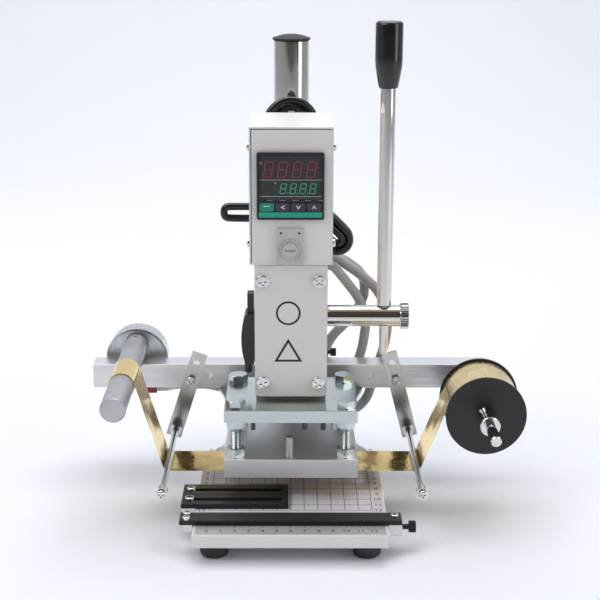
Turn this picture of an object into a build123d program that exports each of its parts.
"""Hot foil stamper: lever-and-rack press with a heated plate and a driven foil feed.

Units are millimetres. X runs to the operator's right, Y away from the operator, Z up.
The origin is on the work table's printed face, on the ram's axis.
Each function returns one node, and the node table at the end writes one file per node.
"""
import math
import os

from build123d import *

# ---------------------------------------------------------------- work table
TABLE_HALF_WIDTH = 70.0
TABLE_FRONT = -104.7
TABLE_SIDE_END = 47.0
TABLE_THICKNESS = 9.6
SHEET_THICKNESS = 0.4
TABLE_TOP = -SHEET_THICKNESS
TABLE_BOTTOM = TABLE_TOP - TABLE_THICKNESS
REAR_RADIUS = 32.0
TAPER = [(67.7, 49.0), (58.8, 66.7), (28.5, 122.5)]
FOOT_DIA = 20.5
FOOT_HEIGHT = 12.0
FOOT_SPOTS = [(-55, -88), (55, -88), (-50, 44), (50, 44)]

# ---------------------------------------------------------------- column
COLUMN_Y = 108.0
COLUMN_DIA = 28.0
COLUMN_TOP = 327.5
COLUMN_SEAT = TABLE_TOP - 5.6
CAP_TOP = 332.0

# ---------------------------------------------------------------- stops on the table
STOP_BOTTOM = 0.4
STOP_TOP = 3.8
FRONT_STOP_Y = (-89.0, -74.0)
FRONT_STOP_HALF = 80.0
CARRIER_INNER = 70.5
CARRIER_OUTER = 80.2
CARRIER_BOTTOM = -8.0
SIDE_STOP_X = (-81.0, -1.5)
SIDE_STOP_Y = (-60.0, -22.5)
SIDE_SLOT_YS = (-51.0, -33.0)
SIDE_SLOT_X = (-78.0, -6.0)
SIDE_SCREW_X = -75.0

# ---------------------------------------------------------------- press head
HEAD_HALF = 26.5
HEAD_FRONT = -14.0
HEAD_BACK = 60.0
HEAD_BOTTOM = 73.0
HEAD_TOP = 175.0
COVER_THICKNESS = 2.0
CHANNEL_HALF = 14.35
CHANNEL_BACK = 14.1
RAM_HALF = 14.3
RAM_FRONT = -13.9
RAM_PITCH_Y = 13.0
RAM_BOTTOM = 69.5
RAM_TOP = 168.0
CLAMP_BOTTOM = 100.0
CLAMP_TOP = 165.0
CLAMP_SCREW_ZS = (115.0, 150.0)
CLAMP_RADIUS = 25.0
COLUMN_FIT = 0.05

# ---------------------------------------------------------------- rack, pinion and lever
MODULE = 1.0
TEETH = 18
PITCH_RADIUS = MODULE * TEETH / 2
SHAFT_Y = RAM_PITCH_Y + PITCH_RADIUS
SHAFT_Z = 125.0
GEAR_HALF = 14.4
BUSH_START = 14.7
SHAFT_DIA = 16.5
STUB_DIA = 12.0
SHAFT_END = 83.5
LEVER_X = 71.5
ROD_DIA = 11.3
ROD_TAIL_DIA = 7.0
ROD_TAIL_END = 94.0
ROD_TOP = 332.0
GRIP_BOTTOM = 299.5
GRIP_TOP = 348.5
BUSH_FIT = 0.05

# ---------------------------------------------------------------- control box
BOX_HALF = 30.5
BOX_FRONT = -18.0
BOX_BACK = 60.0
BOX_BOTTOM = 175.0
BOX_TOP = 276.2
SHEET_METAL = 1.2
PANEL_GAP = 0.65
BOX_SCREW_ZS = (190.0, 261.0)
BOX_SCREW_Y = -11.0
CONTROLLER_X = (-24.9, 23.9)
CONTROLLER_Z = (209.2, 258.2)
CONTROLLER_FRONT = -20.4
KEY_XS = (-17.6, -6.2, 5.2, 16.6)
KEY_Z = 218.6
KEY_SIZE = (10.4, 6.2)
TIMER_X = -0.75
TIMER_Z = (175.8, 202.5)
DIAL_Z = 187.0

# ---------------------------------------------------------------- plates
UPPER_HALF = 49.5
UPPER_Y = (-39.8, 38.0)
UPPER_Z = (60.0, 69.5)
HEATER_HALF = 50.0
HEATER_Y = (-39.8, 40.0)
HEATER_Z = (16.4, 30.7)
BOLT_X = 41.3
BOLT_YS = (-30.0, 30.0)
BOLT_DIA = 8.0
BOLT_ROOT = 7.1
BOLT_PITCH = 1.25
HEX_FLATS = 13.0

# ---------------------------------------------------------------- foil feed
BAR_HALF = 161.0
BAR_Y = (69.0, 89.0)
BAR_Z = (50.0, 70.0)
BRACKET_SHEET = 3.0
ARM_THICKNESS = 2.0
ARM_WIDTH = 12.5
ARM_TAIL = 8.5
ARM_REACH = 66.0
ARM_SLOT = (41.0, 57.0)
LEFT_ROD = (-94.0, 17.0)
RIGHT_ROD = (96.0, 17.0)
LEFT_ARM_TOP = (-76.8, 70.3)
RIGHT_ARM_TOP = (82.3, 70.1)
ROD_PIN_DIA = 3.0
ROLLER_DIA = 5.0
SUPPLY = (147.0, 59.5)
SUPPLY_DIA = 8.0
DISC_DIA = 61.0
ROLL_DIA = 57.0
TAKE_UP = (-127.5, 80.5)
TAKE_UP_DIA = 19.0
WIND_DIA = 20.6
WIND_Y = (-17.0, 20.0)
MOTOR = (-127.5, 67.7)
MOTOR_DIA = 51.0
FOIL_Y = (-21.0, 20.0)
FOIL_THICKNESS = 0.15
FOIL_GAP = 0.3

# ---------------------------------------------------------------- cords
CORD_DIA = 6.0
CORD_EXIT = (-14.0, 198.3)
HANK_Y = (74.0, 86.0)
HANK_DISCS = [((-0.5, 264.8), 22.8), ((8.0, 200.0), 14.0), ((37.0, 172.3), 13.4)]
LEAD_POINTS = [(-14, 66, 198.3), (-14, 80, 198.3), (-52.7, 80, 198.5), (-52.7, 80, 189.1), (2, 80, 189)]
SLEEVE_DIA = 8.0
SLEEVE_EXIT_X = 25.6
SLEEVE_EXITS = [(97.0, 153.0), (84.0, 149.5), (108.0, 150.0)]


# ---------------------------------------------------------------- helpers
def block(x, y, z):
    """Box between the limits x, y and z, each a pair."""
    size = [limit[1] - limit[0] for limit in (x, y, z)]
    middle = [(limit[1] + limit[0]) / 2 for limit in (x, y, z)]
    return Pos(*middle) * Box(*size)


def rod_x(x, y, z, dia):
    """Cylinder along X between the pair x."""
    return Pos((x[0] + x[1]) / 2, y, z) * Rot(0, 90, 0) * Cylinder(dia / 2, x[1] - x[0])


def rod_y(x, y, z, dia):
    """Cylinder along Y between the pair y."""
    return Pos(x, (y[0] + y[1]) / 2, z) * Rot(90, 0, 0) * Cylinder(dia / 2, y[1] - y[0])


def rod_z(x, y, z, dia):
    """Cylinder along Z between the pair z."""
    return Pos(x, y, (z[0] + z[1]) / 2) * Cylinder(dia / 2, z[1] - z[0])


def prism_xy(points, z):
    """Polygon in plan, extruded between the pair z."""
    face = make_face(Polyline(*points, close=True))
    return Pos(0, 0, z[0]) * extrude(face, z[1] - z[0])


def prism_xz(points, y):
    """Polygon seen from the front, extruded along Y between the pair y."""
    face = make_face(Polyline(*points, close=True))
    return Pos(0, y[1], 0) * Rot(90, 0, 0) * extrude(face, y[1] - y[0])


def hex_z(x, y, z, flats, turn=0):
    """Hexagonal prism along Z, flats is the width across flats."""
    face = RegularPolygon(flats / 2, 6, major_radius=False)
    return Pos(x, y, z[0]) * Rot(0, 0, turn) * extrude(face, z[1] - z[0])


def group(items):
    """Separate solids kept together as one node."""
    return Compound(children=[solid for item in items for solid in item.solids()])


def pan_head(dia, height, turn=0):
    """Pan head standing on Z = 0, with a cross recess turned by an angle in degrees."""
    head = Cylinder(dia / 2, height, align=(Align.CENTER, Align.CENTER, Align.MIN))
    head = fillet(head.edges().sort_by(Axis.Z)[-1], height * 0.45)
    slot = Box(dia * 0.62, dia * 0.16, height * 1.1)
    for angle in (turn, turn + 90):
        head -= Pos(0, 0, height) * Rot(0, 0, angle) * slot
    return head


def turned(*edges):
    """Body of revolution about Z from the closed outline of the edges, drawn as (radius, height)."""
    return revolve(Rot(90, 0, 0) * make_face(edges), Axis.Z)


def hexagon_head(x, y, z, turn=0):
    """Hexagon along Z with its corners eased at both ends."""
    prism = hex_z(0, 0, (0, z[1] - z[0]), HEX_FLATS, turn)
    ease = Cylinder(HEX_FLATS / math.sqrt(3), z[1] - z[0], align=(Align.CENTER, Align.CENTER, Align.MIN))
    ease = chamfer(ease.edges().filter_by(GeomType.CIRCLE), 0.8)
    return Pos(x, y, z[0]) * (prism & ease)


def threaded(x, y, z):
    """Threaded length along Z, drawn as closed rings."""
    count = int((z[1] - z[0]) / BOLT_PITCH)
    outline = [(0, z[0])]
    for index in range(count):
        foot = z[0] + index * BOLT_PITCH
        outline += [(BOLT_ROOT / 2, foot), (BOLT_DIA / 2, foot + BOLT_PITCH / 2)]
    outline += [(BOLT_ROOT / 2, z[0] + count * BOLT_PITCH), (BOLT_ROOT / 2, z[1]), (0, z[1])]
    return Pos(x, y, 0) * turned(Polyline(*outline, close=True))


def knurled(dia, length, ridges, depth):
    """Cylinder on Z = 0 with straight grooves round it."""
    body = Cylinder(dia / 2, length, align=(Align.CENTER, Align.CENTER, Align.MIN))
    body = chamfer(body.edges().filter_by(GeomType.CIRCLE), depth)
    cutter = Box(depth * 2, depth * 2, length * 3)
    for index in range(ridges):
        body -= Rot(0, 0, index * 360 / ridges) * Pos(dia / 2, 0, 0) * Rot(0, 0, 45) * cutter
    return body


# ---------------------------------------------------------------- work table
def table_outline(inset):
    """Right-hand half of the table outline, inset from the edge."""
    half = TABLE_HALF_WIDTH - inset
    return [(half, TABLE_FRONT + inset), (half, TABLE_SIDE_END)]


def base_plate():
    right = table_outline(0) + TAPER
    left = [(-x, y) for x, y in reversed(right)]
    plate = prism_xy(right + left, (TABLE_BOTTOM, TABLE_TOP))
    plate += rod_z(0, COLUMN_Y, (TABLE_BOTTOM, TABLE_TOP), 2 * REAR_RADIUS)
    plate = chamfer(plate.edges().group_by(Axis.Z)[-1], 0.5)
    plate -= rod_z(0, COLUMN_Y, (COLUMN_SEAT, 0), COLUMN_DIA)
    plate -= rod_z(0, COLUMN_Y, (TABLE_BOTTOM, 0), 10.4)
    for x, y in FOOT_SPOTS:
        plate -= rod_z(x, y, (TABLE_BOTTOM, TABLE_BOTTOM + 7), 4)
    return plate


def table_sheet():
    right = table_outline(0.8) + [(67.0, 48.6), (59.4, 64.0)]
    left = [(-x, y) for x, y in reversed(right)]
    return prism_xy(right + left, (TABLE_TOP, 0))


def rubber_feet():
    feet = []
    for x, y in FOOT_SPOTS:
        foot = rod_z(x, y, (TABLE_BOTTOM - FOOT_HEIGHT, TABLE_BOTTOM), FOOT_DIA)
        foot = fillet(foot.edges().sort_by(Axis.Z)[0], 2.6)
        foot -= rod_z(x, y, (TABLE_BOTTOM - FOOT_HEIGHT, TABLE_BOTTOM - 8), 8.4)
        foot -= rod_z(x, y, (TABLE_BOTTOM - FOOT_HEIGHT, TABLE_BOTTOM), 4)
        feet.append(foot)
    return group(feet)


def base_screws():
    """Foot screws and the column's bolt."""
    screws = [column_bolt()]
    for x, y in FOOT_SPOTS:
        screw = rod_z(x, y, (TABLE_BOTTOM - 8.5, TABLE_BOTTOM + 7), 4)
        head = Pos(x, y, TABLE_BOTTOM - 8) * Rot(180, 0, 0) * pan_head(7.6, 2.8)
        screws.append(screw + head)
    return group(screws)


def column():
    post = rod_z(0, COLUMN_Y, (COLUMN_SEAT, COLUMN_TOP), COLUMN_DIA)
    post = chamfer(post.edges().group_by(Axis.Z)[-1], 0.8)
    post -= rod_z(0, COLUMN_Y, (COLUMN_SEAT, 20), 10)
    post -= rod_z(0, COLUMN_Y, (COLUMN_TOP - 8, COLUMN_TOP), 8)
    return post


def column_bolt():
    bolt = rod_z(0, COLUMN_Y, (TABLE_BOTTOM - 5, 18), 10)
    bolt += rod_z(0, COLUMN_Y, (TABLE_BOTTOM - 2, TABLE_BOTTOM), 21)
    bolt += hex_z(0, COLUMN_Y, (TABLE_BOTTOM - 8.4, TABLE_BOTTOM - 2), 17)
    return bolt


def column_cap():
    rim = COLUMN_TOP + 1.8
    cap = rod_z(0, 0, (COLUMN_TOP, rim), 30)
    cap = chamfer(cap.edges().group_by(Axis.Z)[-1], 0.4)
    cap += turned(Polyline((0, rim - 0.5), (13.6, rim - 0.5), (13.6, rim), (11.4, rim + 1), (8.6, CAP_TOP - 0.9),
                           (5.2, CAP_TOP - 0.3), (2.2, CAP_TOP), (0, CAP_TOP), close=True))
    cap += rod_z(0, 0, (COLUMN_TOP - 8, COLUMN_TOP + 1), 8)
    return Pos(0, COLUMN_Y, 0) * cap


# ---------------------------------------------------------------- stops
def front_stop_bar():
    half = FRONT_STOP_HALF
    bar = block((-half, half), FRONT_STOP_Y, (STOP_BOTTOM, STOP_TOP))
    bar = chamfer(bar.edges().group_by(Axis.Z)[-1], 0.4)
    return bar - stop_screw_shanks()


FRONT_KNOB = (-80.0, -4.6)
FRONT_SCREW_END = -2.1
FRONT_SCREW_SPOTS = [(75.0, -81.0), (-75.0, -77.5), (-75.0, -85.5)]


def stop_screw_shanks():
    shanks = [rod_z(x, y, (FRONT_SCREW_END, STOP_TOP), 3) for x, y in FRONT_SCREW_SPOTS]
    return shanks[0] + shanks[1] + shanks[2]


def front_stop_blocks():
    blocks = []
    for side in (-1, 1):
        span = (CARRIER_INNER, CARRIER_OUTER) if side > 0 else (-77.0, -CARRIER_INNER)
        carrier = block(span, FRONT_STOP_Y, (CARRIER_BOTTOM if side > 0 else -5, STOP_BOTTOM))
        carrier = chamfer(carrier.edges().group_by(Axis.Z)[0], 0.5)
        blocks.append(carrier - stop_screw_shanks())
    blocks[1] -= rod_x((CARRIER_INNER - 1, CARRIER_OUTER + 1), *FRONT_KNOB, 4.16)
    return group(blocks)


def front_stop_screws():
    screws = []
    for x, y in FRONT_SCREW_SPOTS:
        shank = rod_z(x, y, (FRONT_SCREW_END, STOP_TOP + 0.2), 3)
        screws.append(shank + Pos(x, y, STOP_TOP) * pan_head(6, 2, x + 3 * y))
    return group(screws)


def front_stop_knob():
    knob = rod_x((CARRIER_INNER - 0.3, 86), *FRONT_KNOB, 4)
    return knob + Pos(85.5, *FRONT_KNOB) * Rot(0, 90, 0) * knurled(8.6, 5, 24, 0.35)


def side_stop_plate():
    plate = block(SIDE_STOP_X, SIDE_STOP_Y, (STOP_BOTTOM, STOP_TOP))
    plate = chamfer(plate.edges().group_by(Axis.Z)[-1], 0.3)
    for y in SIDE_SLOT_YS:
        slot = block((SIDE_SLOT_X[0] + 2.3, SIDE_SLOT_X[1] - 2.3), (y - 2.3, y + 2.3), (0, STOP_TOP + 1))
        for x in (SIDE_SLOT_X[0] + 2.3, SIDE_SLOT_X[1] - 2.3):
            slot += rod_z(x, y, (0, STOP_TOP + 1), 4.6)
        plate -= slot
    return plate


def side_stop_block():
    span = (-CARRIER_OUTER, -CARRIER_INNER)
    carrier = block(span, (-58, -26), (CARRIER_BOTTOM, STOP_BOTTOM - 0.05))
    carrier = chamfer(carrier.edges().group_by(Axis.Z)[0], 0.5)
    for y in SIDE_SLOT_YS:
        carrier -= rod_z(SIDE_SCREW_X, y, (CARRIER_BOTTOM + 2, STOP_BOTTOM), 4)
    return carrier


def side_stop_screws():
    screws = []
    for y in SIDE_SLOT_YS:
        shank = rod_z(SIDE_SCREW_X, y, (CARRIER_BOTTOM + 2, STOP_TOP + 0.3), 4)
        screws.append(shank + Pos(SIDE_SCREW_X, y, STOP_TOP + 0.05) * pan_head(7, 2.2, 2 * y))
    return group(screws)


# ---------------------------------------------------------------- press head
COVER_SCREW_SPOTS = [(-21, 162.2), (21, 162.2), (-21, 83.8), (20.5, 83.4)]


def head_body():
    body = block((-HEAD_HALF, HEAD_HALF), (HEAD_FRONT, HEAD_BACK), (HEAD_BOTTOM, HEAD_TOP))
    body = fillet(body.edges().filter_by(Axis.Z), 2)
    body -= block((-CHANNEL_HALF, CHANNEL_HALF), (HEAD_FRONT - 1, CHANNEL_BACK), (0, HEAD_TOP - 3))
    body -= rod_x((-BUSH_START, BUSH_START), SHAFT_Y, SHAFT_Z, 21.6)
    body -= block((-BUSH_START, BUSH_START), (CHANNEL_BACK - 1, SHAFT_Y), (SHAFT_Z - 10.8, SHAFT_Z + 10.8))
    body -= rod_x((BUSH_START - 0.1, HEAD_HALF + 1), SHAFT_Y, SHAFT_Z, 22)
    body -= rod_x((-HEAD_HALF - 1, 0.1 - BUSH_START), SHAFT_Y, SHAFT_Z, 18)
    body += block((-20, 20), (HEAD_BACK - 1, COLUMN_Y), (CLAMP_BOTTOM, CLAMP_TOP))
    body += rod_z(0, COLUMN_Y, (CLAMP_BOTTOM, CLAMP_TOP), 2 * CLAMP_RADIUS)
    body += block((-13, 13), (COLUMN_Y, COLUMN_Y + 38), (CLAMP_BOTTOM, CLAMP_TOP))
    body -= rod_z(0, COLUMN_Y, (0, HEAD_TOP), COLUMN_DIA + 2 * COLUMN_FIT)
    body -= block((-1.5, 1.5), (COLUMN_Y, COLUMN_Y + 40), (0, HEAD_TOP))
    for z in CLAMP_SCREW_ZS:
        body -= rod_x((-14, 14), COLUMN_Y + 30, z, 8)
    for x, z in COVER_SCREW_SPOTS:
        body -= rod_y(x, (HEAD_FRONT - 1, HEAD_FRONT + 12), z, 4)
    body -= rod_x((20, HEAD_HALF + 1), 8, 100, 3)
    for y, z in SLEEVE_EXITS:
        body -= rod_x((16, SLEEVE_EXIT_X), y, z, 10.1)
    return body


def clamp_screws():
    screws = []
    for z in CLAMP_SCREW_ZS:
        screw = rod_x((-17, 13.5), COLUMN_Y + 30, z, 8)
        head = rod_x((13, 21), COLUMN_Y + 30, z, 13)
        head -= Pos(21, COLUMN_Y + 30, z) * Rot(0, 90, 0) * extrude(RegularPolygon(3, 6), 4, both=True)
        screws.append(screw + head)
    return group(screws)


def cover_plate():
    cover = block((-27, 27), (HEAD_FRONT - COVER_THICKNESS, HEAD_FRONT), (72.5, 174.0))
    cover = fillet(cover.edges().filter_by(Axis.Y).group_by(Axis.Z)[0], 4)
    for x, z in COVER_SCREW_SPOTS:
        cover -= rod_y(x, (HEAD_FRONT - 3, HEAD_FRONT + 1), z, 4)
    return cover


def housing_screws():
    """Screws of the cover and the control box."""
    screws = []
    for x, z in COVER_SCREW_SPOTS:
        shank = rod_y(x, (HEAD_FRONT - COVER_THICKNESS - 0.2, HEAD_FRONT + 12), z, 4)
        head = Pos(x, HEAD_FRONT - COVER_THICKNESS, z) * Rot(90, 0, 0) * pan_head(10.2, 2.6, 3 * x + z)
        screws.append(shank + head)
    for side in (-1, 1):
        for z in BOX_SCREW_ZS:
            span = sorted((side * (BOX_HALF - 4), side * (BOX_HALF + 0.2)))
            head = Pos(side * BOX_HALF, BOX_SCREW_Y, z) * Rot(0, side * 90, 0) * pan_head(6, 2)
            screws.append(rod_x(span, BOX_SCREW_Y, z, 3) + head)
    return group(screws)


def shaft_bushes():
    right = rod_x((BUSH_START, HEAD_HALF), SHAFT_Y, SHAFT_Z, 22)
    right -= rod_x((10, 28), SHAFT_Y, SHAFT_Z, SHAFT_DIA + 2 * BUSH_FIT)
    left = rod_x((-HEAD_HALF, -BUSH_START), SHAFT_Y, SHAFT_Z, 18)
    left -= rod_x((-25, -10), SHAFT_Y, SHAFT_Z, STUB_DIA + 2 * BUSH_FIT)
    return group([right, left])


def limit_switch():
    """Start switch on the head's left side, with its upper tab and its cable boot."""
    side = Line((-28, 93), (-34.5, 93)) + ThreePointArc((-34.5, 93), (-37.6, 112.5), (-34.5, 132))
    face = make_face(side + Line((-34.5, 132), (-28, 132)) + Line((-28, 132), (-28, 93)))
    body = Pos(0, 18, 0) * Rot(90, 0, 0) * extrude(face, 20)
    body += block((-28, -HEAD_HALF), (0, 16), (95, 130))
    body += block((-33, -28), (3, 13), (131, 147.5))
    body += rod_z(-32.5, 8, (84, 93.5), 4.6)
    for z in (84.6, 87.2, 89.8):
        body += rod_z(-32.5, 8, (z, z + 1.4), 6.2)
    return body


def gib_screw():
    """Thumb screw of the ram's side adjuster."""
    screw = rod_x((20, 31), 8, 100, 3) + rod_x((HEAD_HALF, HEAD_HALF + 1.5), 8, 100, 8)
    return screw + Pos(30, 8, 100) * Rot(0, 90, 0) * knurled(6.2, 4.5, 18, 0.3)


# ---------------------------------------------------------------- pinion, lever
def tooth_profile(half_tip, half_root):
    """Half widths of a straight-sided tooth from just inside the root to the tip."""
    return [(-0.3, half_root), (0, half_root), (2.05 * MODULE, half_tip)]


def pinion_shaft():
    shaft = rod_x((GEAR_HALF, SHAFT_END), SHAFT_Y, SHAFT_Z, SHAFT_DIA)
    shaft += rod_x((-24.5, -GEAR_HALF), SHAFT_Y, SHAFT_Z, STUB_DIA)
    root = PITCH_RADIUS - 1.25 * MODULE
    shaft += rod_x((-GEAR_HALF, GEAR_HALF), SHAFT_Y, SHAFT_Z, 2 * root)
    tooth = [(root - 0.5, -1.2), (root, -1.15), (PITCH_RADIUS, -0.5), (PITCH_RADIUS + 0.75, -0.22)]
    tooth += [(x, -y) for x, y in reversed(tooth)]
    face = make_face(Polyline(*tooth, close=True))
    for index in range(TEETH):
        angle = 180 + (index + 0.5) * 360 / TEETH
        turned = Rot(0, 0, angle) * extrude(face, GEAR_HALF, both=True)
        shaft += Pos(0, SHAFT_Y, SHAFT_Z) * Rot(90, 90, 0) * turned
    shaft -= rod_z(LEVER_X, SHAFT_Y, (SHAFT_Z - 10, SHAFT_Z + 10), ROD_TAIL_DIA)
    shaft -= rod_x((LEVER_X, SHAFT_END + 1), SHAFT_Y, SHAFT_Z, 6)
    return shaft


def lever_rod():
    shoulder = SHAFT_Z + SHAFT_DIA / 2
    rod = rod_z(LEVER_X, SHAFT_Y, (shoulder, ROD_TOP), ROD_DIA)
    rod = chamfer(rod.edges().group_by(Axis.Z)[0], 1)
    rod += rod_z(LEVER_X, SHAFT_Y, (ROD_TAIL_END, shoulder + 0.5), ROD_TAIL_DIA)
    return chamfer(rod.edges().group_by(Axis.Z)[0], 0.8)


def lever_grip():
    shoulder = GRIP_TOP - 2.6
    taper = Spline((7.2, GRIP_BOTTOM + 0.7), (8.7, 308), (10.2, 322), tangents=[(0.2, 1), (0, 1)])
    crown = ThreePointArc((10.2, shoulder), (9.2, GRIP_TOP - 0.9), (7.2, GRIP_TOP - 0.25))
    side = Line((10.2, 322), (10.2, shoulder))
    ends = Polyline((7.2, GRIP_TOP - 0.25), (0, GRIP_TOP), (0, GRIP_BOTTOM), (6.5, GRIP_BOTTOM),
                    (7.2, GRIP_BOTTOM + 0.7))
    grip = turned(taper, side, crown, ends)
    grip -= rod_z(0, 0, (0, ROD_TOP), ROD_DIA)
    return Pos(LEVER_X, SHAFT_Y, 0) * grip


def lever_screw():
    screw = rod_x((LEVER_X + ROD_TAIL_DIA / 2, SHAFT_END + 1), SHAFT_Y, SHAFT_Z, 6)
    head = Pos(SHAFT_END + 0.6, SHAFT_Y, SHAFT_Z) * Rot(0, 90, 0) * knurled(20.3, 6.1, 40, 0.45)
    return screw + head


# ---------------------------------------------------------------- ram and plates
def ram():
    body = block((-RAM_HALF, RAM_HALF), (RAM_FRONT, RAM_PITCH_Y + MODULE), (RAM_BOTTOM, RAM_TOP))
    pitch = math.pi * MODULE
    gap = [(1.1, -1.4), (0.0, -0.98), (-1.25, -0.55)]
    profile = [(RAM_PITCH_Y + y, z) for y, z in gap] + [(RAM_PITCH_Y + y, -z) for y, z in reversed(gap)]
    face = make_face(Polyline(*profile, close=True))
    for index in range(-9, 14):
        cutter = Rot(90, 90, 0) * extrude(face, 20, both=True)
        centre = SHAFT_Z + (index + 0.5) * pitch
        body -= Pos(0, 0, centre) * cutter
    for y in (-6, 6):
        body -= rod_z(0, y, (RAM_BOTTOM, 84), 5)
    return body


def upper_plate():
    plate = block((-UPPER_HALF, UPPER_HALF), UPPER_Y, UPPER_Z)
    plate = chamfer(plate.edges().group_by(Axis.Z)[-1], 0.4)
    for x in (-BOLT_X, BOLT_X):
        for y in BOLT_YS:
            plate -= rod_z(x, y, UPPER_Z, BOLT_DIA)
    for x in STUD_XS:
        plate -= rod_z(x, STUD_Y, (UPPER_Z[0], UPPER_Z[0] + 6), 4)
    for y in (-6, 6):
        plate -= rod_z(0, y, UPPER_Z, 5)
    return plate


STUD_XS = (-35.0, -29.0, 10.5, 24.7, 33.0)
STUD_Y = -12.0


def plate_screws():
    """Screws that hold the ram, the studs under the upper plate and the locating pin."""
    pin = rod_z(-1, -32, (24, 46.5), 6)
    screws = [chamfer(pin.edges().group_by(Axis.Z)[-1], 0.6)]
    for x in STUD_XS:
        screws.append(rod_z(x, STUD_Y, (44.5, UPPER_Z[0] + 6), 4))
    for y in (-6, 6):
        screws.append(rod_z(0, y, (UPPER_Z[0] - 1, 84), 5) + rod_z(0, y, (UPPER_Z[0] - 5, UPPER_Z[0]), 8.5))
    return group(screws)


def plate_bolts():
    bolts = []
    for x in (-BOLT_X, BOLT_X):
        for y in BOLT_YS:
            low, high = HEATER_Z[1] + 6, UPPER_Z[0] - (BRACKET_SHEET if y > 0 else 0) - 6
            bolt = rod_z(x, y, (HEATER_Z[0] + 3, low), BOLT_DIA) + threaded(x, y, (low, high))
            bolt += rod_z(x, y, (high, UPPER_Z[1] + 1), BOLT_DIA)
            head = hexagon_head(x, y, (UPPER_Z[1], UPPER_Z[1] + 5.5), 0 if x < 0 else 30)
            bolts.append(bolt + head)
    return group(bolts + plate_nuts())


def plate_nuts():
    nuts = []
    for x in (-BOLT_X, BOLT_X):
        for y in BOLT_YS:
            top = UPPER_Z[0] - (BRACKET_SHEET if y > 0 else 0)
            for z in ((top - 6.5, top), (HEATER_Z[1], HEATER_Z[1] + 6.5)):
                nuts.append(hexagon_head(x, y, z, 3 * y) - rod_z(x, y, (0, 80), BOLT_DIA))
    return nuts


def heater_plate():
    plate = block((-HEATER_HALF, HEATER_HALF), HEATER_Y, HEATER_Z)
    plate = chamfer(plate.edges().group_by(Axis.Z)[-1], 0.4)
    for x in (-BOLT_X, BOLT_X):
        for y in BOLT_YS:
            plate -= rod_z(x, y, (HEATER_Z[0] + 3, HEATER_Z[1]), BOLT_DIA)
    for x in (-22, 22):
        plate -= rod_y(x, (-32, HEATER_Y[1]), 23.5, 8)
    plate -= rod_y(0, (-4, HEATER_Y[1]), 23.5, 4)
    plate -= rod_z(-1, -32, (24, HEATER_Z[1]), 6)
    return plate


def heater_inserts():
    """Two cartridge heaters and the temperature probe, pushed in from the back."""
    probe = rod_y(0, (-4, HEATER_Y[1] + 2), 23.5, 4) + rod_y(0, (HEATER_Y[1], HEATER_Y[1] + 8), 23.5, 7)
    return group([rod_y(x, (-32, HEATER_Y[1] + 6), 23.5, 8) for x in (-22, 22)] + [probe])





# ---------------------------------------------------------------- foil feed
def bar_bracket():
    rear = [(51.2, 36), (51.2, 39), (58.4, 68.2), (58.4, BAR_Y[1]), (-58.4, BAR_Y[1]), (-58.4, 68.2),
            (-51.2, 39), (-51.2, 36)]
    bracket = prism_xy(rear, (BAR_Z[0] - BRACKET_SHEET, BAR_Z[0]))
    bracket += block((-51.2, 51.2), (38.3, 41.3), (BAR_Z[0] - BRACKET_SHEET, UPPER_Z[0]))
    bracket += block((-49, 49), (20, 41.3), (UPPER_Z[0] - BRACKET_SHEET, UPPER_Z[0]))
    bracket -= block((-30, 30), (19, 33), (50, 61))
    for x in (-BOLT_X, BOLT_X):
        bracket -= rod_z(x, BOLT_YS[1], (50, 61), BOLT_DIA)
    for x in (-40, 40):
        bracket -= rod_z(x, 79, (40, 51), 5)
    return bracket


def foil_bar():
    bar = block((-BAR_HALF, BAR_HALF), BAR_Y, BAR_Z)
    bar = chamfer(bar.edges().filter_by(Axis.X), 0.4)
    for x in (-65.5, 65.5):
        bar -= rod_y(x, (60, 100), 60, 5)
    for x in (-40, 40):
        bar -= rod_z(x, 79, (BAR_Z[0], BAR_Z[0] + 12), 5)
    bar -= rod_y(SUPPLY[0], (BAR_Y[0], BAR_Y[0] + 14), SUPPLY[1], SUPPLY_DIA)
    for x in ARM_SCREW_SPOTS:
        bar -= rod_y(x[0], (BAR_Y[0], BAR_Y[0] + 10), x[1], 4)
    for x in MOTOR_EAR_XS:
        bar -= rod_y(x, (BAR_Y[1] - 8, BAR_Y[1]), BAR_Z[0] + 10, 3)
    return bar


ARM_SCREW_SPOTS = [(-81.5, 56.6), (85.6, 57.0)]
MOTOR_EAR_XS = (MOTOR[0] - 30, MOTOR[0] + 30)


def feed_screws():
    """Screws that hold the bar, the arms and the motor."""
    screws = []
    for x in (-40, 40):
        head = Pos(x, 79, BAR_Z[0] - BRACKET_SHEET) * Rot(180, 0, 0) * pan_head(9, 3)
        screws.append(rod_z(x, 79, (BAR_Z[0] - 3.2, BAR_Z[0] + 12), 5) + head)
    for x, z in ARM_SCREW_SPOTS:
        face_y = BAR_Y[0] - ARM_THICKNESS
        head = Pos(x, face_y, z) * Rot(90, 0, 0) * pan_head(7.2, 2.8, x)
        screws.append(rod_y(x, (face_y - 0.2, BAR_Y[0] + 10), z, 4) + head)
    for x in MOTOR_EAR_XS:
        head = Pos(x, BAR_Y[1] + 1.5, BAR_Z[0] + 10) * Rot(-90, 0, 0) * pan_head(5.6, 2)
        screws.append(rod_y(x, (BAR_Y[1] - 8, BAR_Y[1] + 1.7), BAR_Z[0] + 10, 3) + head)
    return group(screws)


def arm_angle(rod, top):
    """Lean of an arm from the vertical, in degrees, about +Y."""
    return math.degrees(math.atan2(top[0] - rod[0], top[1] - rod[1]))


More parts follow.
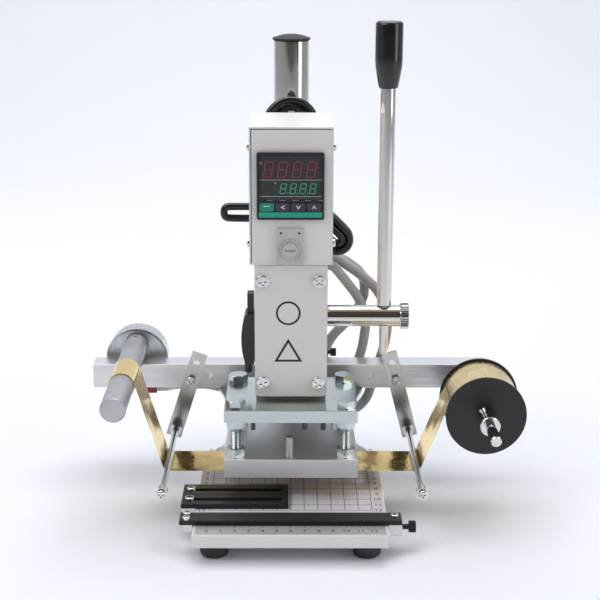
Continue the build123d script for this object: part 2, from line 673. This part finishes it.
def strip(rod, top, reach, width, y):
    """Square-ended strip along the line from rod to top, between the two distances in reach."""
    face = Pos(0, (reach[0] + reach[1]) / 2) * Rectangle(width, reach[1] - reach[0])
    lean = arm_angle(rod, top)
    flat = Rot(90, 0, 0) * Rot(0, 0, -lean) * extrude(face, (y[1] - y[0]) / 2, both=True)
    return Pos(rod[0], (y[0] + y[1]) / 2, rod[1]) * flat


def along(rod, top, distance):
    """Point on the line from rod to top, at a distance from the rod."""
    share = distance / math.dist(rod, top)
    return tuple(a + (b - a) * share for a, b in zip(rod, top))


def guide_arms():
    arms = []
    depth = (BAR_Y[0] - ARM_THICKNESS, BAR_Y[0])
    cut = (depth[0] - 2, depth[1] + 1)
    for rod, top in ((LEFT_ROD, LEFT_ARM_TOP), (RIGHT_ROD, RIGHT_ARM_TOP)):
        arm = strip(rod, top, (-ARM_TAIL, ARM_REACH), ARM_WIDTH, depth)
        arm -= strip(rod, top, ARM_SLOT, 5.2, cut)
        for distance in ARM_SLOT:
            x, z = along(rod, top, distance)
            arm -= rod_y(x, cut, z, 5.2)
        arm -= rod_y(rod[0], cut, rod[1], ROD_PIN_DIA)
        arms.append(arm)
    return group(arms)


def guide_pins():
    """Pins of the two guide rollers, with a nut and a screw head at the front."""
    pins = []
    for x, z in (LEFT_ROD, RIGHT_ROD):
        pin = rod_y(x, (-72, BAR_Y[0]), z, ROD_PIN_DIA)
        pin += rod_y(x, (-71.5, -65.3), z, 9)
        pin += Pos(x, -71.5, z) * Rot(90, 0, 0) * pan_head(6.6, 2.8, x)
        pin += rod_y(x, (58, BAR_Y[0] - ARM_THICKNESS), z, 9.4)
        pins.append(pin)
    return group(pins)


def guide_roller(spot):
    tube = rod_y(spot[0], (-65, 57.7), spot[1], ROLLER_DIA)
    return tube - rod_y(spot[0], (-70, 60), spot[1], ROD_PIN_DIA + 0.16)


def guide_roller_left():
    return guide_roller(LEFT_ROD)


def guide_roller_right():
    return guide_roller(RIGHT_ROD)


def supply_shaft():
    shaft = rod_y(SUPPLY[0], (-77, BAR_Y[0] + 14), SUPPLY[1], SUPPLY_DIA)
    return chamfer(shaft.edges().group_by(Axis.Y)[0], 0.8)


def supply_collars():
    """Front collar with its set screw, and the spacer behind the spool."""
    spacer = rod_y(SUPPLY[0], (24.4, BAR_Y[0]), SUPPLY[1], 13)
    spacer -= rod_y(SUPPLY[0], (20, 80), SUPPLY[1], SUPPLY_DIA)
    centre = Pos(SUPPLY[0], -32, SUPPLY[1]) * Rot(0, -30, 0)
    screw = centre * (rod_z(0, 0, (4, 9), 4) + rod_z(0, 0, (8.6, 11), 5.5))
    ring = rod_y(SUPPLY[0], (-46.4, -24.4), SUPPLY[1], 15)
    ring = chamfer(ring.edges().filter_by(GeomType.CIRCLE), 0.5)
    ring -= rod_y(SUPPLY[0], (-50, 0), SUPPLY[1], SUPPLY_DIA)
    ring -= centre * rod_z(0, 0, (0, 10), 4)
    return group([ring, screw, spacer])


def supply_spool():
    """Core tube and the two side discs."""
    core = rod_y(SUPPLY[0], (-22, 22), SUPPLY[1], 26)
    discs = [core - rod_y(SUPPLY[0], (-30, 30), SUPPLY[1], SUPPLY_DIA + 0.16)]
    for y in ((-24, -22), (22, 24)):
        disc = rod_y(SUPPLY[0], y, SUPPLY[1], DISC_DIA)
        disc = fillet(disc.edges().filter_by(GeomType.CIRCLE), 0.4)
        discs.append(disc - rod_y(SUPPLY[0], (-30, 30), SUPPLY[1], SUPPLY_DIA + 0.16))
    return group(discs)


def supply_roll():
    roll = rod_y(SUPPLY[0], (-21.9, 21.9), SUPPLY[1], ROLL_DIA)
    return roll - rod_y(SUPPLY[0], (-30, 30), SUPPLY[1], 26)


def take_up_roller():
    """Knurled roller with its set screw, on the motor's shaft."""
    roller = rod_y(TAKE_UP[0], (-70, 88), TAKE_UP[1], TAKE_UP_DIA)
    roller = chamfer(roller.edges().group_by(Axis.Y)[0], 1)
    roller -= rod_y(TAKE_UP[0], (60, 90), TAKE_UP[1], 5)
    roller -= rod_z(TAKE_UP[0], 80, (TAKE_UP[1], TAKE_UP[1] + 12), 4)
    screw = rod_z(TAKE_UP[0], 80, (TAKE_UP[1] + 2.5, TAKE_UP[1] + 8.8), 4)
    shaft = rod_y(TAKE_UP[0], (64, BAR_Y[1] + 0.2), TAKE_UP[1], 5)
    return group([roller, screw, shaft])


def take_up_wind():
    wind = rod_y(TAKE_UP[0], WIND_Y, TAKE_UP[1], WIND_DIA)
    return wind - rod_y(TAKE_UP[0], (-30, 30), TAKE_UP[1], TAKE_UP_DIA)


def take_up_motor():
    """Geared motor with its ears, its terminal block and the lead sleeve under the bar."""
    x, z = MOTOR
    motor = rod_y(x, (BAR_Y[1] + 0.3, BAR_Y[1] + 2.5), z, MOTOR_DIA - 2)
    motor += rod_y(x, (BAR_Y[1] + 2.4, BAR_Y[1] + 5), z, MOTOR_DIA)
    motor += rod_y(x, (BAR_Y[1] + 5, BAR_Y[1] + 21), z, MOTOR_DIA - 1)
    for ear_x in MOTOR_EAR_XS:
        side = math.copysign(1, ear_x - x)
        span = sorted((ear_x - side * 10, ear_x + side * 4))
        ear = block(span, (BAR_Y[1] + 0.02, BAR_Y[1] + 1.5), (BAR_Z[0] + 6, BAR_Z[0] + 14))
        motor += ear - rod_y(ear_x, (80, 100), BAR_Z[0] + 10, 3)
    terminal = block((-123, -112), (BAR_Y[1] + 4, BAR_Y[1] + 16), (37, 42))
    lead = tube([(-112, 97, 39.5), (-103, 97, 39.5), (-96, 86, 45), (-70, 83, 46.5), (-58, 82, 44)], 4)
    return group([motor, terminal, lead])


def cross_tangent(c1, r1, c2, r2, side):
    """Ends of the tangent that crosses between two circles; side is +1 or -1."""
    gap = math.dist(c1, c2)
    base = math.atan2(c2[1] - c1[1], c2[0] - c1[0])
    swing = side * math.acos((r1 + r2) / gap)
    first = (c1[0] + r1 * math.cos(base + swing), c1[1] + r1 * math.sin(base + swing))
    second = (c2[0] - r2 * math.cos(base + swing), c2[1] - r2 * math.sin(base + swing))
    return first, second


def arc_points(centre, radius, start, end, steps):
    """Points on an arc from the start angle to the end angle, in radians."""
    angles = [start + (end - start) * index / steps for index in range(steps + 1)]
    return [(centre[0] + radius * math.cos(a), centre[1] + radius * math.sin(a)) for a in angles]


def foil_path(shift):
    """Centre line of the foil, shifted outwards from the rollers by shift."""
    rod_radius = ROLLER_DIA / 2 + FOIL_GAP + shift
    wind = cross_tangent(TAKE_UP, WIND_DIA / 2 + FOIL_GAP - shift, LEFT_ROD, rod_radius, 1)
    roll = cross_tangent(SUPPLY, ROLL_DIA / 2 + FOIL_GAP - shift, RIGHT_ROD, rod_radius, -1)
    left_angle = math.atan2(wind[1][1] - LEFT_ROD[1], wind[1][0] - LEFT_ROD[0]) % (2 * math.pi)
    right_angle = math.atan2(roll[1][1] - RIGHT_ROD[1], roll[1][0] - RIGHT_ROD[0]) % (2 * math.pi)
    if right_angle < math.pi:
        right_angle += 2 * math.pi
    points = [wind[0]] + arc_points(LEFT_ROD, rod_radius, left_angle, 1.5 * math.pi, 8)
    points += arc_points(RIGHT_ROD, rod_radius, 1.5 * math.pi, right_angle, 8) + [roll[0]]
    return points


def foil_web():
    inner = foil_path(0)
    outer = foil_path(FOIL_THICKNESS)
    return prism_xz(inner + list(reversed(outer)), FOIL_Y)


# ---------------------------------------------------------------- control box
def box_shell():
    shell = block((-BOX_HALF, BOX_HALF), (BOX_FRONT, BOX_BACK), (BOX_BOTTOM, BOX_TOP))
    shell = fillet(shell.edges().filter_by(Axis.Z).group_by(Axis.Y)[-1], 1.5)
    inner = BOX_HALF - SHEET_METAL
    hollow = block((-inner, inner), (BOX_FRONT - 1, BOX_BACK - SHEET_METAL),
                   (BOX_BOTTOM + SHEET_METAL, BOX_TOP - SHEET_METAL))
    shell -= hollow
    for side in (-1, 1):
        for z in BOX_SCREW_ZS:
            span = sorted((side * (inner - 1), side * (BOX_HALF + 1)))
            shell -= rod_x(span, BOX_SCREW_Y, z, 3)
    shell -= rod_y(CORD_EXIT[0], (BOX_BACK - 5, BOX_BACK + 5), CORD_EXIT[1], 10)
    return shell


def box_panel():
    inner = BOX_HALF - SHEET_METAL
    left, right = PANEL_GAP - inner, inner - 0.1
    low, high = BOX_BOTTOM + SHEET_METAL + 0.1, BOX_TOP - SHEET_METAL - PANEL_GAP
    panel = block((left, right), (BOX_FRONT, BOX_FRONT + SHEET_METAL), (low, high))
    panel += block((left, left + SHEET_METAL), (BOX_FRONT, BOX_FRONT + 12), (low, high))
    panel += block((right - SHEET_METAL, right), (BOX_FRONT, BOX_FRONT + 12), (low, high))
    for z in BOX_SCREW_ZS:
        panel -= rod_x((-inner, 3 - inner), BOX_SCREW_Y, z, 3)
        panel -= rod_x((inner - 3, inner), BOX_SCREW_Y, z, 3)
    x0, x1 = CONTROLLER_X
    z0, z1 = CONTROLLER_Z
    panel -= block((x0 + 2, x1 - 2), (BOX_FRONT - 1, BOX_FRONT + 2), (z0 + 2, z1 - 2))
    return panel - block((TIMER_X - 8.5, TIMER_X + 8.5), (BOX_FRONT - 1, BOX_FRONT + 2), (179, 200))


def controller():
    x0, x1 = CONTROLLER_X
    z0, z1 = CONTROLLER_Z
    bezel = block(CONTROLLER_X, (CONTROLLER_FRONT, BOX_FRONT), CONTROLLER_Z)
    bezel = fillet(bezel.edges().filter_by(Axis.Y), 1.5)
    body = block((x0 + 2, x1 - 2), (BOX_FRONT - 0.1, 40), (z0 + 2, z1 - 2))
    bezel += body
    bezel -= block((x0 + 3, x1 - 3), (CONTROLLER_FRONT - 1, CONTROLLER_FRONT + 0.5), (224.0, z1 - 1.8))
    for x in KEY_XS:
        bezel -= key_block(x, 0.2, (CONTROLLER_FRONT - 1, BOX_FRONT + 1.4))
    return bezel


def key_block(x, gap, y):
    half_x = KEY_SIZE[0] / 2 + gap
    half_z = KEY_SIZE[1] / 2 + gap
    return block((x - half_x, x + half_x), y, (KEY_Z - half_z, KEY_Z + half_z))


def controller_window():
    x0, x1 = CONTROLLER_X
    return block((x0 + 3.1, x1 - 3.1), (CONTROLLER_FRONT, CONTROLLER_FRONT + 0.5),
                 (224.1, CONTROLLER_Z[1] - 1.9))


def controller_key(index):
    key = key_block(KEY_XS[index], 0, (CONTROLLER_FRONT - 0.6, BOX_FRONT + 0.4))
    return fillet(key.edges().filter_by(Axis.Y), 1.2)


def timer_body():
    bezel = block((TIMER_X - 10.3, TIMER_X + 10.3), (BOX_FRONT - 2.5, BOX_FRONT), TIMER_Z)
    bezel = fillet(bezel.edges().filter_by(Axis.Y), 1)
    body = block((TIMER_X - 8.4, TIMER_X + 8.4), (BOX_FRONT - 0.1, 8), (179.1, 199.9))
    return bezel + body - rod_y(TIMER_X, (BOX_FRONT - 4, BOX_FRONT + 4), DIAL_Z, 4.16)


def timer_dial():
    dial = Pos(TIMER_X, BOX_FRONT - 2.8, DIAL_Z) * Rot(90, 0, 0) * knurled(11, 3, 24, 0.3)
    dial -= block((TIMER_X - 4, TIMER_X + 4), (BOX_FRONT - 7, BOX_FRONT - 4.8), (DIAL_Z - 0.6, DIAL_Z + 0.6))
    return dial + rod_y(TIMER_X, (BOX_FRONT - 2.9, BOX_FRONT + 3.5), DIAL_Z, 4)


def cord_gland():
    """Gland of the mains cord in the box's back wall, and the grommets of the wire sleeves."""
    x, z = CORD_EXIT
    fittings = [rod_y(x, (BOX_BACK, BOX_BACK + 6), z, 13) + rod_y(x, (BOX_BACK - 4, BOX_BACK + 1), z, 10)]
    for y, z in SLEEVE_EXITS:
        fittings.append(rod_x((16.2, SLEEVE_EXIT_X), y, z, 10))
    return group(fittings)


def turn_angle(before, corner, after):
    """Change of direction at a corner of a route, in radians."""
    first = Vector(*corner) - Vector(*before)
    second = Vector(*after) - Vector(*corner)
    return math.radians(first.get_angle(second))


def route(points):
    """Smooth line through straight runs joined by the largest arcs that fit."""
    radii = []
    for before, corner, after in zip(points, points[1:], points[2:]):
        run = min(math.dist(before, corner), math.dist(corner, after))
        radii.append(0.45 * run / math.tan(turn_angle(before, corner, after) / 2))
    print([round(radius, 1) for radius in radii])
    return FilletPolyline(*points, radius=radii)


def tube(points, dia):
    """Round cord along a route."""
    wire = route(points)
    start = Plane(origin=wire @ 0, z_dir=wire % 0)
    return sweep(start * Circle(dia / 2), path=wire)


def hank_span(first, second):
    """Outline that wraps two discs of the hank."""
    edges = []
    for (x, z), radius in (first, second):
        edges += (Pos(x, z) * Circle(radius)).edges()
    return make_hull(edges)


def mains_cord():
    """Outer shape of the tied hank behind the control box."""
    top, middle, end = HANK_DISCS
    depth = HANK_Y[1] - HANK_Y[0]
    hank = extrude(hank_span(top, middle), depth) + extrude(hank_span(middle, end), depth)
    return Pos(0, HANK_Y[1], 0) * Rot(90, 0, 0) * hank


def cord_lead():
    """Stretch of mains cord from the gland to the hank."""
    return tube(LEAD_POINTS, CORD_DIA)


def cord_plug():
    """Flat moulded plug lying against the hank, its pins pointing up."""
    body = block((-12, 12), (61.5, HANK_Y[0]), (214, 246))
    body = fillet(body.edges().filter_by(Axis.Y), 4)
    for x in (-7, 7):
        body += rod_z(x, 67.7, (245, 262), 4)
    return body


SLEEVES = [
    [(25.6, 97, 153), (36, 97, 153), (56, 99, 139), (71, 98.5, 126), (80.5, 97.5, 106), (79, 97.5, 82),
     (70, 98, 52), (62, 98, 24), (24, 72, 21.5), (22, 46.5, 23.5)],
    [(25.6, 84, 149.5), (34, 84, 149.5), (45, 92, 134), (56, 97, 118.5), (62.5, 98.5, 101), (60, 97.5, 78),
     (52, 98, 50), (42, 98, 23), (2, 74, 21.5), (0, 48.5, 23.5)],
    [(25.6, 108, 150), (42, 108, 150), (60, 110, 136), (61.5, 109, 117), (50, 107, 98.5), (31, 101, 82),
     (24, 99, 56), (18, 98, 23), (-20, 72, 21.5), (-22, 46.5, 23.5)],
]


def wire_sleeves():
    """Sleeved wires from the control box to the heaters and the probe."""
    return group([tube(points, SLEEVE_DIA) for points in SLEEVES])


NODES = {
    "base_plate": base_plate,
    "table_sheet": table_sheet,
    "rubber_feet": rubber_feet,
    "base_screws": base_screws,
    "column": column,
    "column_cap": column_cap,
    "front_stop_bar": front_stop_bar,
    "front_stop_blocks": front_stop_blocks,
    "front_stop_screws": front_stop_screws,
    "front_stop_knob": front_stop_knob,
    "side_stop_plate": side_stop_plate,
    "side_stop_block": side_stop_block,
    "side_stop_screws": side_stop_screws,
    "head_body": head_body,
    "clamp_screws": clamp_screws,
    "cover_plate": cover_plate,
    "housing_screws": housing_screws,
    "shaft_bushes": shaft_bushes,
    "limit_switch": limit_switch,
    "gib_screw": gib_screw,
    "pinion_shaft": pinion_shaft,
    "lever_rod": lever_rod,
    "lever_grip": lever_grip,
    "lever_screw": lever_screw,
    "ram": ram,
    "upper_plate": upper_plate,
    "plate_screws": plate_screws,
    "plate_bolts": plate_bolts,
    "heater_plate": heater_plate,
    "heater_inserts": heater_inserts,
    "bar_bracket": bar_bracket,
    "foil_bar": foil_bar,
    "feed_screws": feed_screws,
    "guide_arms": guide_arms,
    "guide_pins": guide_pins,
    "guide_roller_left": guide_roller_left,
    "guide_roller_right": guide_roller_right,
    "supply_shaft": supply_shaft,
    "supply_collars": supply_collars,
    "supply_spool": supply_spool,
    "supply_roll": supply_roll,
    "take_up_roller": take_up_roller,
    "take_up_wind": take_up_wind,
    "take_up_motor": take_up_motor,
    "foil_web": foil_web,
    "box_shell": box_shell,
    "box_panel": box_panel,
    "controller": controller,
    "controller_window": controller_window,
    "timer_body": timer_body,
    "timer_dial": timer_dial,
    "cord_gland": cord_gland,
    "mains_cord": mains_cord,
    "cord_lead": cord_lead,
    "cord_plug": cord_plug,
    "wire_sleeves": wire_sleeves,
}


def write_parts():
    os.makedirs("parts", exist_ok=True)
    for name, build in NODES.items():
        export_step(build(), os.path.join("parts", name + ".step"))
    for index in range(len(KEY_XS)):
        export_step(controller_key(index), os.path.join("parts", "controller_key_%d.step" % (index + 1)))


write_parts()
